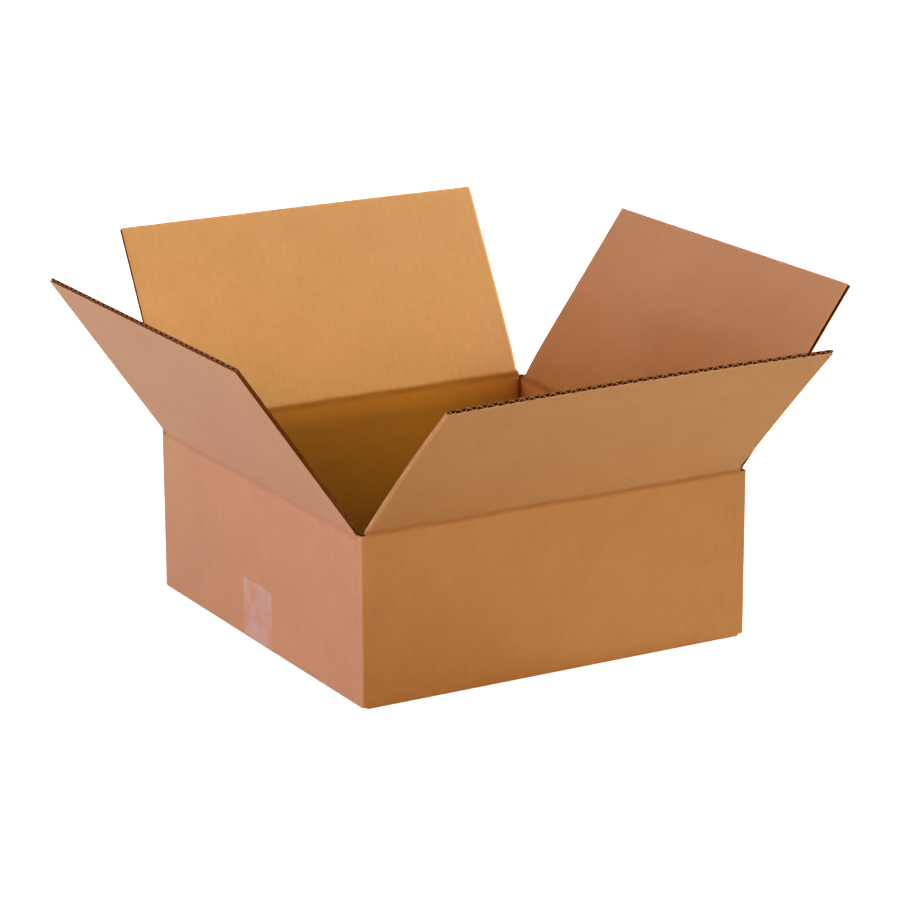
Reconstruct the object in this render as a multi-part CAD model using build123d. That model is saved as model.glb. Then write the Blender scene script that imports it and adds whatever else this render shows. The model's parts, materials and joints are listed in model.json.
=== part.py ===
"""Open corrugated carton: a regular slotted case with its four top flaps folded out.

Millimetres. X runs along the front wall, Y from the front wall to the back one, Z up.
The origin is the middle of the underside, on the surface that the carton stands on.

One slotted and creased blank makes the walls, the glued tab and all eight flaps.
The bottom flaps are folded shut and taped. The outer bottom flaps hang on the front and
back walls, the inner ones lie on top of them and hang on the left and right walls.
The top flaps turn on their creases, so each one is a piece of its own here, and its
free edges show the wavy medium between the two liners.
"""

import os
from math import atan2, ceil, tan

from build123d import *

# Inside of the closed carton
inside_length = 304.8
inside_width = 304.8
inside_height = 111.1

# Corrugated board, C flute: two liners with a wavy medium glued between them.
# The medium lies flat on a liner for crest_flat, and its arch is chamfered from
# arch_shoulder of its height upwards.
board = 3.7
liner = 0.35
medium = 0.3
flute_pitch = 7.9
crest_flat = 1.4
arch_shoulder = 0.7

# Slots and creases of the blank
slot_inset = 5.0
meeting_gap = 5.0
layer_gap = 0.2
crease_gap = 0.4
corner_bend = 3.2
inner_bend = 0.6
bottom_bend = 1.8
fold_drop = 1.2
fold_play = 0.4

# Glued tab at the back left corner, inside the left wall
tab_width = 35.0
tab_margin = 6.0
tab_taper = 12.0

# Clear tape over the bottom seam and up the end walls
tape_width = 45.0
tape_thickness = 0.08
tape_reach = 47.0

# How far each open top flap leans out from upright, in degrees
front_lean = 44.3
back_lean = 29.3
left_lean = 35.1
right_lean = 36.1

# Sizes that follow from the ones above
outer_length = inside_length + 2 * board
outer_width = inside_width + 2 * board
half_length = outer_length / 2
half_width = outer_width / 2
layer_step = board + layer_gap
floor_top = 2 * board + layer_gap
side_crease = floor_top + inside_height + board
main_crease = side_crease + layer_step
flap_depth = min(outer_length, outer_width) / 2 - meeting_gap / 2


def slab(x_range, y_range, z_range):
    """A box between two limits on each axis."""
    size = [high - low for low, high in (x_range, y_range, z_range)]
    centre = [(high + low) / 2 for low, high in (x_range, y_range, z_range)]
    return Pos(*centre) * Box(*size)


def wall_ring():
    """The four walls as a tube. It ends just above the floor and at the lower of the top creases."""
    outside = RectangleRounded(outer_length, outer_width, corner_bend)
    inside = RectangleRounded(inside_length, inside_width, inner_bend)
    outer = extrude(outside, amount=main_crease - fold_drop)
    outer = fillet(outer.faces().sort_by(Axis.Z)[0].edges(), bottom_bend)
    inner = extrude(inside, amount=main_crease - fold_drop)
    return Pos(0, 0, fold_drop) * (outer - inner)


def crease_bevel(half_span, half_depth, crease):
    """The wedge that is missing above one wall: the crease's inner side is pressed to 45 degrees.

    The wall lies at -Y. The bevel falls from the crease on the outer face to the inner one.
    """
    wall_face = -half_depth
    profile = Polyline(
        (wall_face, crease),
        (wall_face + board, crease - board),
        (wall_face + 2 * board, crease - board),
        (wall_face + 2 * board, crease + 2 * layer_step),
        (wall_face - board, crease + 2 * layer_step),
        (wall_face - board, crease),
        close=True,
    )
    face = make_face(Plane.YZ * profile)
    return Pos(-half_span, 0, 0) * extrude(face, amount=2 * half_span, dir=(1, 0, 0))


def outer_bottom_flap():
    """The front wall's bottom flap, turned in flat on the floor, with the fold's outer round."""
    reach = (-half_width, -half_width + flap_depth)
    span = (-half_length + slot_inset, half_length - slot_inset)
    flap = slab(span, reach, (0, board))
    foot = slab(span, (-half_width, -half_width + board), (0, layer_step))
    folded = flap + foot
    fold = folded.edges().filter_by(Axis.X).group_by(Axis.Z)[0].sort_by(Axis.Y)[0]
    return fillet(fold, bottom_bend)


def inner_bottom_flap():
    """The left wall's bottom flap on top of the outer ones, its fold let down beside their ends."""
    span = (-half_width + slot_inset, half_width - slot_inset)
    wall_middle = -half_length + board / 2
    flap = slab((wall_middle, -half_length + flap_depth), span, (layer_step, floor_top))
    fold_end = -half_length + slot_inset - fold_play
    fold = slab((wall_middle, fold_end), span, (fold_drop, floor_top))
    return flap + fold


def glued_tab():
    """The tab that joins the blank's two ends, glued inside the left wall at the back."""
    face_at = -inside_length / 2
    corner = inside_width / 2
    low = floor_top + tab_margin
    high = side_crease - board - tab_margin
    outline = Polyline(
        (corner, low),
        (corner - tab_width, low + tab_taper),
        (corner - tab_width, high - tab_taper),
        (corner, high),
        close=True,
    )
    face = make_face(Plane.YZ * outline)
    return Pos(face_at - board / 2, 0, 0) * extrude(face, amount=board * 1.5, dir=(1, 0, 0))


def corner_slots():
    """What the top slots take away at the four corners, down to the lower crease."""
    high = main_crease + board
    slots = []
    for side_x in (-1, 1):
        for side_y in (-1, 1):
            middle = (side_x * half_length, side_y * half_width, (side_crease + high) / 2)
            slots.append(Pos(*middle) * Box(2 * slot_inset, 2 * slot_inset, high - side_crease))
    return slots


def tape_relief():
    """The weight on the seam presses the tape flush into the soft board."""
    span = (-half_length, half_length)
    return slab(span, (-tape_width / 2, tape_width / 2), (0, tape_thickness))


def carton_body():
    """Walls, tab and closed bottom flaps: all of the blank but its top flaps."""
    body = wall_ring()
    bottom = outer_bottom_flap()
    body += bottom + bottom.mirror(Plane.XZ)
    inner = inner_bottom_flap()
    body += inner + inner.mirror(Plane.YZ)
    body += glued_tab()
    body -= corner_slots()
    front = crease_bevel(half_length, half_width, main_crease)
    body -= [front, front.mirror(Plane.XZ)]
    left = Rot(Z=-90) * crease_bevel(half_width, half_length, side_crease)
    body -= [left, left.mirror(Plane.YZ)]
    return body - tape_relief()


def flute_void(middle, base, up):
    """The section of one empty channel: flat on a liner at base, arched by the medium over it."""
    height = board - 2 * liner - medium
    flank = flute_pitch / 2 - crest_flat
    crown = crest_flat / 2 - medium / 2 * tan(atan2(height, flank) / 2)
    right_side = [
        (crown + flank, 0),
        (crown + (1 - arch_shoulder) * flank, arch_shoulder * height),
        (crown / 2, height),
    ]
    left_side = [(-across, rise) for across, rise in reversed(right_side)]
    corners = [(middle + across, base + up * rise) for across, rise in right_side + left_side]
    return make_face(Polyline(*corners, close=True))


def board_section(span):
    """Corrugated board cut across its flutes: liners at both faces, the medium waving between."""
    section = Pos(0, board / 2) * Rectangle(span, board)
    count = ceil(span / flute_pitch / 2) + 1
    voids = []
    for flute in range(-count, count + 1):
        voids.append(flute_void(flute * flute_pitch, liner, 1))
        voids.append(flute_void((flute + 0.5) * flute_pitch, board - liner, -1))
    return section - voids


def top_flap(span):
    """One top flap, upright over a crease along X at the origin, its outer face on Y = 0.

    Its root is pressed to 45 degrees, as the wall's top is, so that it can fold in flat.
    """
    section = board_section(span)
    flap = extrude(section, amount=flap_depth)
    root = Polyline(
        (-board, crease_gap - board),
        (2 * board, crease_gap + 2 * board),
        (2 * board, -board),
        (-board, -board),
        close=True,
    )
    wedge = extrude(make_face(Plane.YZ * root), amount=span, both=True)
    return flap - wedge


def open_flap(span, turn, offset, crease, lean):
    """A top flap leant out by lean degrees over the wall that faces the way turn says."""
    leant = Rot(X=lean) * top_flap(span)
    return Rot(Z=turn) * Pos(0, -offset, crease) * leant


def bottom_tape():
    """Clear tape: along the seam, over the small step at each end and up the end walls.

    It is the skin of an outline drawn round the carton's ends, cut off at the tape's reach.
    """
    flap_end = half_length - slot_inset
    wall_foot = fold_drop + bottom_bend
    step_in = half_length - bottom_bend
    top = tape_reach + board
    half = [
        Line((0, top), (0, tape_thickness)),
        Line((0, tape_thickness), (flap_end, tape_thickness)),
        Line((flap_end, tape_thickness), (step_in, fold_drop)),
        RadiusArc((step_in, fold_drop), (half_length, wall_foot), -bottom_bend),
        Line((half_length, wall_foot), (half_length, top)),
        Line((half_length, top), (0, top)),
    ]
    right = make_face(half)
    outline = right + right.mirror(Plane.YZ)
    skin = offset(outline, amount=tape_thickness, kind=Kind.INTERSECTION) - outline
    below = Pos(0, tape_reach / 2) * Rectangle(3 * half_length, tape_reach)
    section = Plane.XZ * (skin & below)
    return extrude(section, amount=tape_width / 2, both=True)


def carton():
    """Every piece of the carton by name."""
    main_span = outer_length - 2 * slot_inset
    side_span = outer_width - 2 * slot_inset
    return {
        "carton_body": carton_body(),
        "front_flap": open_flap(main_span, 0, half_width, main_crease, front_lean),
        "back_flap": open_flap(main_span, 180, half_width, main_crease, back_lean),
        "left_flap": open_flap(side_span, -90, half_length, side_crease, left_lean),
        "right_flap": open_flap(side_span, 90, half_length, side_crease, right_lean),
        "bottom_tape": bottom_tape(),
    }


def main():
    os.makedirs("parts", exist_ok=True)
    for name, piece in carton().items():
        export_step(piece, f"parts/{name}.step")
        print(name, "volume", round(piece.volume, 1), "size", piece.bounding_box().size)
    print("creases at", side_crease, main_crease, "flap depth", flap_depth)


main()
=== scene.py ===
# %% [markdown]
# Open corrugated carton
#
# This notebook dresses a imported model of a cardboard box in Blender. The model already has
# the right size and joints, so every cell adds looks and nothing is moved. The box is one
# slotted sheet of corrugated board: four walls, four taped bottom flaps, and four top flaps
# that stand open. Lengths are written in millimetres and turned to metres once.

# %% Load the fixed frame
import json
import math

import bmesh
import bpy
from mathutils import Matrix, Vector, noise


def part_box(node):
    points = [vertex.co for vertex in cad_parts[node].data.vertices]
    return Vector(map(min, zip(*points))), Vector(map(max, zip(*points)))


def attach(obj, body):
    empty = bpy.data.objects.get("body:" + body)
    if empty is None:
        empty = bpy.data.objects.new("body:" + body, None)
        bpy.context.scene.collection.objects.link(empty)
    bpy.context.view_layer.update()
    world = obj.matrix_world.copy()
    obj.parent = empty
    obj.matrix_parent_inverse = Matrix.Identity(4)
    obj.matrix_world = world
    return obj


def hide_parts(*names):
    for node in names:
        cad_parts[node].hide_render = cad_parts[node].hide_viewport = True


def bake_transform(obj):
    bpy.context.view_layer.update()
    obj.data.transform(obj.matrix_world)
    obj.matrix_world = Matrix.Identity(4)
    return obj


MM = 0.001
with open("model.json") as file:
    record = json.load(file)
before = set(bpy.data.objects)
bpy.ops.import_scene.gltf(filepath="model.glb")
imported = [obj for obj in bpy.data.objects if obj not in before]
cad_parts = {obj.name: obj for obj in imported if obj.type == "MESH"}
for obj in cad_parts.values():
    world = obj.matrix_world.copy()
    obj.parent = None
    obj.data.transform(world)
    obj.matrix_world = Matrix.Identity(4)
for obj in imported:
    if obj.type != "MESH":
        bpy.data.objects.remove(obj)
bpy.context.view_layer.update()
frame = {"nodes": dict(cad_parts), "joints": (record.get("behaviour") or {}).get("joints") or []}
joints = {joint["child"]: joint for joint in frame["joints"]}

# %% [markdown]
# What the frame already knows
#
# Each top flap turns about a crease. The joint gives the crease's place and direction, and its
# closing limit is a quarter turn past upright, so the lean at rest is what is left over. The
# box's half side and the flap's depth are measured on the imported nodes, so the looks follow
# the model if it is packed again with other sizes.

# %% Measure the frame
FLAPS = ("front", "back", "left", "right")
half_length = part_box("carton_body")[1].x     # the carton is square, so one half side is enough


def crease_frame(flap):
    """The upright frame of one crease: X along it, Y into the box, Z up, and the lean at rest."""
    joint = joints[f"{flap}_flap"]
    along = Vector(joint["axis"])
    up = Vector((0, 0, 1))
    turn = Matrix((along, up.cross(along), up)).transposed().to_4x4()
    lean = math.radians(-joint["range_deg"][0] - 90)
    return Matrix.Translation(joint["pos_m"]) @ turn, lean


def flap_size(flap):
    """How far a packed flap runs along its crease and away from it."""
    upright, lean = crease_frame(flap)
    back = (upright @ Matrix.Rotation(lean, 4, "X")).inverted()
    points = [back @ v.co for v in frame["nodes"][f"{flap}_flap"].data.vertices]
    return 2 * max(p.x for p in points), max(p.z for p in points)


crease_height = {flap: joints[f"{flap}_flap"]["pos_m"][2] for flap in FLAPS}
flap_span, flap_depth = flap_size("front")
slot_inset = half_length - flap_span / 2
slot_floor = crease_height["left"]
for flap in FLAPS:
    upright, lean = crease_frame(flap)
    print(flap, "crease at", round(crease_height[flap], 4), "lean", round(math.degrees(lean), 1))
print("span", round(flap_span, 4), "depth", round(flap_depth, 4), "slot", round(slot_inset, 4))

# %% [markdown]
# Three small helpers
#
# Colours are picked as the hex values that a screen shows, and a render works in linear light,
# so one function turns them. Another adds a node to any tree, sets it up and links it, which
# keeps every material and every geometry tree readable from top to bottom. Where it is given
# a whole node, it links that node's first output. The third starts an empty material.

# %% Colour and node helpers
def linear(code, alpha=1.0):
    """A hex colour as linear red, green and blue, with alpha."""
    parts = [int(code[i:i + 2], 16) / 255 for i in (1, 3, 5)]
    flat = [c / 12.92 if c <= 0.04045 else ((c + 0.055) / 1.055) ** 2.4 for c in parts]
    return (*flat, alpha)


def add(tree, kind, feeds=None, **settings):
    """Add a node, set its properties, then link or set each of its inputs."""
    node = tree.nodes.new(kind)
    for name, value in settings.items():
        setattr(node, name, value)
    for key, value in (feeds or {}).items():
        if isinstance(value, bpy.types.Node):
            value = value.outputs[0]
        if isinstance(value, bpy.types.NodeSocket):
            tree.links.new(value, node.inputs[key])
        else:
            node.inputs[key].default_value = value
    return node


def new_material(name):
    """A material without any nodes yet, and its tree."""
    material = bpy.data.materials.new(name)
    material.use_nodes = True
    material.node_tree.nodes.clear()
    return material, material.node_tree


print("white is", [round(c, 3) for c in linear("#FFFFFF")])

# %% [markdown]
# Kraft linerboard
#
# The skin of a carton is kraft liner: long unbleached wood fibres, pressed into paper on a
# wire and left uncoated. Its lignin gives the warm brown, the pulp's uneven settling gives
# soft clouds, and bits of bark leave dark specks. Both live in the object's own space, so
# they don't break at a fold. They could be painted as an image, but noise has no seams and
# no edge.

# %% Clouds and specks
CLOUD = 38 * MM          # width of the soft clouds
BLOTCH = 7 * MM          # width of the smaller uneven patches
BLOTCH_SHARE = 0.45      # how much the patches count beside the clouds
SPECK = 1.6 * MM         # spacing of the places where a bark speck may be
SPECK_RARE = 0.93        # a place has one where its random brightness is above this
SPECK_DARK = 0.28        # how much a speck darkens the paper
SPECK_CORE, SPECK_EDGE = 0.18, 0.42     # where it is darkest and where it ends, of the spacing


def clouds(tree, where, pale, deep):
    """The sheet's two browns, mixed by soft clouds with smaller patches in them."""
    cloud = add(tree, "ShaderNodeTexNoise", {"Vector": where, "Scale": 1 / CLOUD, "Detail": 3.0})
    blotch = add(tree, "ShaderNodeTexNoise", {"Vector": where, "Scale": 1 / BLOTCH, "Detail": 4.0,
                                              "Roughness": 0.6})
    mist = add(tree, "ShaderNodeMix", {0: BLOTCH_SHARE, 2: cloud, 3: blotch})
    spread = add(tree, "ShaderNodeMapRange", {"Value": mist, 1: 0.32, 2: 0.68})
    return add(tree, "ShaderNodeMix", {0: spread, 6: linear(deep), 7: linear(pale)},
               data_type="RGBA").outputs[2]


def bark_specks(tree, where):
    """A factor on the colour: one all over, and less in a few small dots."""
    spots = add(tree, "ShaderNodeTexVoronoi", {"Vector": where, "Scale": 1 / SPECK,
                                               "Randomness": 1.0})
    rare = add(tree, "ShaderNodeMath", {0: spots.outputs["Color"], 1: SPECK_RARE},
               operation="GREATER_THAN")
    near = add(tree, "ShaderNodeMapRange", {"Value": spots.outputs["Distance"], 1: SPECK_CORE,
                                            2: SPECK_EDGE, 3: SPECK_DARK, 4: 0.0})
    bark = add(tree, "ShaderNodeMath", {0: rare, 1: near}, operation="MULTIPLY")
    return add(tree, "ShaderNodeMath", {0: 1.0, 1: bark}, operation="SUBTRACT")


print("clouds", CLOUD / MM, "mm wide, specks", SPECK / MM, "mm apart")

# %% [markdown]
# Fibres, flutes and cuts
#
# The fibres lie along the machine, so they show as short strokes a little lighter and darker
# than the sheet. The liner is glued over the waves of the medium and sinks a hair between
# them, so faint stripes run with the flutes. Both follow a map of the unfolded sheet, as they
# do on a real blank. It could be one flat brown, but these layers are why a real carton reads
# as paper. A pressed crease and a torn rim change the colour too, by attributes that the
# meshes carry: a crease is darker for its pressed fibres and with painted shade, a liner's
# rim is paler for its torn fibres, and the medium's rim is darkened with painted shade. A
# tint below the slots paints shade inside the carton. The shine is plain: uncoated paper,
# rough, with the sheen of its sizing.

# %% Kraft paper
FIBRE_LONG = 4.5 * MM    # length of a bundle of fibres, drawn coarser than life so that it shows
FIBRE_WIDE = 0.9 * MM
FIBRE_TONE = 0.023       # how much a bundle is lighter or darker than the sheet
GRAIN = 0.5 * MM         # tooth of the uncoated paper
RELIEF = 0.03 * MM       # height of that tooth, and of the fibres
FRAY = 2.2 * MM          # spacing of the torn tufts along a cut edge
FLUTE_PITCH = 7.9 * MM   # spacing of the waves under the liner
SHADE_REACH = 18 * MM     # how far below the slots the painted shade inside reaches its full depth
CREASE_PRESS_AND_SHADE = "#CBB493"      # the crease colour: the pressed fibres' darker tone and painted shade in its valley


def paper_relief(tree, where, strand, ridge, wave_depth):
    """The normal of a sheet that is rough, combed by its fibres and sunk between the flutes."""
    tooth = add(tree, "ShaderNodeTexNoise", {"Vector": where, "Scale": 1 / GRAIN, "Detail": 2.0})
    paper = add(tree, "ShaderNodeBump", {"Height": tooth, "Strength": 0.35, "Distance": RELIEF})
    felt = add(tree, "ShaderNodeBump", {"Height": strand, "Strength": 0.1, "Distance": RELIEF,
                                        "Normal": paper})
    return add(tree, "ShaderNodeBump", {"Height": ridge, "Strength": 1.0, "Distance": wave_depth,
                                        "Normal": felt})


def kraft_paper(name, pale, deep, stripe, wave_depth, below="#FFFFFF", fade=None, gloss=0.5,
                torn=(0.40, 0.58, 1.28)):
    """Unbleached kraft paper between two hexes. stripe darkens it along the flutes' glue lines.

    below tints the sheet under the two heights of fade: painted shade inside the carton for the
    inner liner, and for two flaps' liners a tint that takes their painted light off the wall.
    gloss is the sheen of the sizing, and torn says between which values of the noise a cut rim
    changes, and to which brightness: above one for paler torn fibres, below one as painted shade.
    """
    fade = fade or (slot_floor - SHADE_REACH, slot_floor)
    material, tree = new_material(name)
    where = add(tree, "ShaderNodeTexCoord").outputs["Object"]
    sheet = add(tree, "ShaderNodeUVMap", uv_map="sheet")

    stretch = (1 / FIBRE_WIDE, 1 / FIBRE_LONG, 1.0)
    combed = add(tree, "ShaderNodeMapping", {"Vector": sheet, "Scale": stretch})
    strand = add(tree, "ShaderNodeTexNoise", {"Vector": combed, "Scale": 1.0, "Detail": 2.0,
                                              "Distortion": 0.4})
    fibre = add(tree, "ShaderNodeMapRange", {"Value": strand, 1: 0.3, 2: 0.7,
                                             3: 1 - FIBRE_TONE, 4: 1 + FIBRE_TONE})

    across, along, _ = add(tree, "ShaderNodeSeparateXYZ", {0: sheet}).outputs
    # Below the fade the colour is multiplied by the tint below: painted shade inside the carton, and
    # on two flaps' liners a tint that takes their painted light off the paper below the crease.
    unshaded = add(tree, "ShaderNodeMapRange", {"Value": along, 1: fade[0], 2: fade[1]},
                 interpolation_type="SMOOTHSTEP")
    kept = add(tree, "ShaderNodeMix", {0: unshaded, 6: linear(below), 7: linear("#FFFFFF")},
               data_type="RGBA")
    phase = add(tree, "ShaderNodeMath", {0: across, 1: 2 * math.pi / FLUTE_PITCH},
                operation="MULTIPLY")
    ridge = add(tree, "ShaderNodeMath", {0: phase}, operation="COSINE")
    wash = add(tree, "ShaderNodeMapRange", {"Value": ridge, 1: -1.0, 2: 1.0,
                                            3: 1 - stripe, 4: 1 + stripe})

    # The pressed attribute darkens creases and inner corners: the pressed fibres' own tone and
    # painted shade.
    pressed = add(tree, "ShaderNodeAttribute", attribute_name="pressed")
    press_and_shade = add(tree, "ShaderNodeMix", {0: pressed.outputs["Fac"], 6: linear("#FFFFFF"),
                                        7: linear(CREASE_PRESS_AND_SHADE)}, data_type="RGBA",
                clamp_factor=False, clamp_result=True)
    # On the liners a cut rim is lightened for its torn fibres; on the medium it is darkened, as
    # painted shade in the flutes.
    rim = add(tree, "ShaderNodeAttribute", attribute_name="rim")
    ragged = add(tree, "ShaderNodeTexNoise", {"Vector": where, "Scale": 1 / FRAY, "Detail": 1.0})
    tuft = add(tree, "ShaderNodeMath", {0: rim.outputs["Fac"], 1: ragged}, operation="MULTIPLY")
    rim_fray_and_shade = add(tree, "ShaderNodeMapRange", {"Value": tuft, 1: torn[0], 2: torn[1],
                                            3: 1.0, 4: torn[2]})
    shade = fibre
    for layer in (bark_specks(tree, where), wash, rim_fray_and_shade):
        shade = add(tree, "ShaderNodeMath", {0: shade, 1: layer}, operation="MULTIPLY")
    colour = clouds(tree, where, pale, deep)
    for layer in (shade, kept.outputs[2], press_and_shade.outputs[2]):
        colour = add(tree, "ShaderNodeMix", {0: 1.0, 6: colour, 7: layer},
                     data_type="RGBA", blend_type="MULTIPLY").outputs[2]

    surface = add(tree, "ShaderNodeBsdfPrincipled", {
        "Base Color": colour, "Normal": paper_relief(tree, where, strand, ridge, wave_depth),
        "Roughness": 0.62, "Specular IOR Level": gloss})
    add(tree, "ShaderNodeOutputMaterial", {"Surface": surface})
    return material


print("sheet map: stripes every", FLUTE_PITCH / MM, "mm")

# %% [markdown]
# The papers of this box
#
# One recipe makes them all. The outer liner is the darker and the inner one the paler and
# yellower, and inside the carton that one is deeper still: painted shade, below the slots.
# Three flaps show a liner of their own, a touch greyer, paler or deeper: painted light and
# shade, which give each of those flaps the tone of its light. The medium is dull recycled
# fluting, and near the slots its rim is darkened with painted shade. A cut edge between the
# liners is painted dark as the shade in its flutes, so it is the darkest and dullest of all.

# %% Liners, medium and cut edges
INSIDE_SHADE_TINT = "#DDE2CE"    # painted shade inside the carton: what the inner liner's colour is multiplied by there
OUTER_SINK = 0.018 * MM  # how far each liner sinks between the waves
INNER_SINK = 0.015 * MM
CUT_SINK = 0.010 * MM

outer_kraft = kraft_paper("kraft_liner_outer", "#C49969", "#BE9261", 0.007, OUTER_SINK)
inner_kraft = kraft_paper("kraft_liner_inner", "#E0B279", "#D9AB70", 0.006, INNER_SINK, INSIDE_SHADE_TINT)
# Painted light and shade: the left flap's outer liner is cooler and lighter, the back flap's inner
# liner lighter and the right flap's inner liner darker. Below their creases the first two are tinted
# a little warmer and darker.
left_flap_painted_light_kraft = kraft_paper("kraft_liner_greyer", "#C9A379", "#C39B6F", 0.007, OUTER_SINK,
                           "#F9F0E0", (crease_height["left"] - 1.5 * MM, crease_height["left"]))
back_flap_painted_light_kraft = kraft_paper("kraft_liner_paler", "#E3BC89", "#DCB47E", 0.006, INNER_SINK,
                          "#FCF2E3", (crease_height["back"] - 5 * MM, crease_height["back"]))
right_flap_painted_shade_kraft = kraft_paper("kraft_liner_deeper", "#D6AB75", "#D0A46E", 0.006, INNER_SINK)
# The medium's rim near the slots is darkened in patches to 0.3 of its tone: painted shade in the
# flutes there.
medium_kraft = kraft_paper("kraft_medium", "#AA7440", "#8E5C2E", 0.0, CUT_SINK, gloss=0.1,
                           torn=(0.25, 0.55, 0.3))
# The cut edges' paper is dark as painted shade: the shade in the flutes behind a cut.
cut_shade_kraft = kraft_paper("kraft_cut", "#6A4322", "#563417", 0.0, CUT_SINK, gloss=0.1)
sheet_papers = (outer_kraft, inner_kraft, cut_shade_kraft)
liners = {"front": (outer_kraft, inner_kraft), "back": (outer_kraft, back_flap_painted_light_kraft),
          "left": (left_flap_painted_light_kraft, inner_kraft), "right": (outer_kraft, right_flap_painted_shade_kraft)}
print("liners", {flap: [liner.name for liner in pair] for flap, pair in liners.items()})

# %% [markdown]
# Corrugated board as a rule
#
# Corrugated board is two liners with a wavy medium glued between them, and it is cut by a
# blade, so its free edges show the waves. It could be modelled flute by flute, but a rule says
# it better, and Geometry Nodes take its sizes as named inputs, so one tree makes every flap.
# First the liners: two thin boxes. The cut is never quite straight, so their edges wander by
# a tenth of a millimetre or two, with a fixed seed.

# %% The liners of a panel
BOARD = 3.7 * MM
LINER = 0.35 * MM
MEDIUM = 0.34 * MM       # the wavy sheet between the liners
BOARD_SIZES = ("Span", "Depth", "Start", "Thickness", "Liner", "Medium", "Pitch", "Ruffle", "Seed")
BOARD_PAPERS = ("Outer", "Inner", "Wave")
LINER_COLUMNS = 303
LINER_ROWS = 26
WANDER = 4 * MM          # length of the wiggles in a cut
AT_SIDE = 0.499          # share of the span, each way, past which a point is on the side's rim
AT_END = 0.999           # share of the depth past which it is on the free edge


def liner_layers(tree, given, length, middle):
    """The outer and the inner liner as thin boxes with a ruffled rim."""
    place = add(tree, "GeometryNodeInputPosition")
    xyz = add(tree, "ShaderNodeSeparateXYZ", {0: place}).outputs
    wander = add(tree, "ShaderNodeTexNoise", {"Vector": place, "W": given["Seed"],
                                              "Scale": 1 / WANDER, "Detail": 3.0},
                 noise_dimensions="4D")
    centred = add(tree, "ShaderNodeVectorMath", {0: wander.outputs["Color"], 1: (0.5, 0.5, 0.5)},
                  operation="SUBTRACT")
    sway = add(tree, "ShaderNodeVectorMath", {0: centred, "Scale": given["Ruffle"]},
               operation="SCALE")
    half_span = add(tree, "ShaderNodeMath", {0: given["Span"], 1: AT_SIDE}, operation="MULTIPLY")
    out_x = add(tree, "ShaderNodeMath", {0: xyz["X"]}, operation="ABSOLUTE")
    side = add(tree, "ShaderNodeMath", {0: out_x, 1: half_span}, operation="GREATER_THAN")
    far = add(tree, "ShaderNodeMath", {0: given["Depth"], 1: AT_END}, operation="MULTIPLY")
    free = add(tree, "ShaderNodeMath", {0: xyz["Z"], 1: far}, operation="GREATER_THAN")
    mask = add(tree, "ShaderNodeCombineXYZ", {0: side, 2: free})
    edge = add(tree, "ShaderNodeVectorMath", {0: sway, 1: mask}, operation="MULTIPLY")

    half_skin = add(tree, "ShaderNodeMath", {0: given["Liner"], 1: 0.5}, operation="MULTIPLY")
    far_skin = add(tree, "ShaderNodeMath", {0: given["Thickness"], 1: half_skin},
                   operation="SUBTRACT")
    size = add(tree, "ShaderNodeCombineXYZ", {0: given["Span"], 1: given["Liner"], 2: length})
    layers = []
    for number, depth in enumerate((half_skin, far_skin)):
        skin = add(tree, "GeometryNodeMeshCube", {
            "Size": size, "Vertices X": LINER_COLUMNS, "Vertices Y": 2, "Vertices Z": LINER_ROWS})
        seat = add(tree, "ShaderNodeCombineXYZ", {1: depth, 2: middle})
        moved = add(tree, "GeometryNodeTransform", {"Geometry": skin, "Translation": seat})
        worn = add(tree, "GeometryNodeSetPosition", {"Geometry": moved, "Offset": edge})
        layers.append(add(tree, "GeometryNodeStoreNamedAttribute", {
            "Geometry": worn, "Name": "layer", "Value": number}, data_type="INT", domain="FACE"))
    return layers


print("liners", LINER / MM, "mm thick, board", BOARD / MM, "mm")

# %% [markdown]
# The wave between them
#
# The medium is paper pressed between two gears, so its side view is nearly a sine wave whose
# crests are flattened where they are glued. A curve can draw that line once, and sweeping a
# thin strip along it gives the sheet. It could be a grid that is bent, but a swept profile
# keeps its thickness round every crest. The sweep is made in two lengths, so that the last
# one, which the knife crushes, stays short, and the long one has rows that can curl.

# %% The wave of a panel
WAVE_POINTS = 620
WAVE_CUTS = 8            # rows that let the wave curl with the liners
TIP = 6 * MM             # the last stretch before the free edge, which the knife crushes
WAVE_END = 0.4985        # share of the span, each way, that it fills, inside the liners' rims
DRIFT = 30 * MM          # length over which the spacing of the waves drifts
SLIDE = 1.2 * MM         # and how far a wave slides from its even place
CREST_FLAT = 0.3         # how far the sine is pressed flat where it is glued


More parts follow.
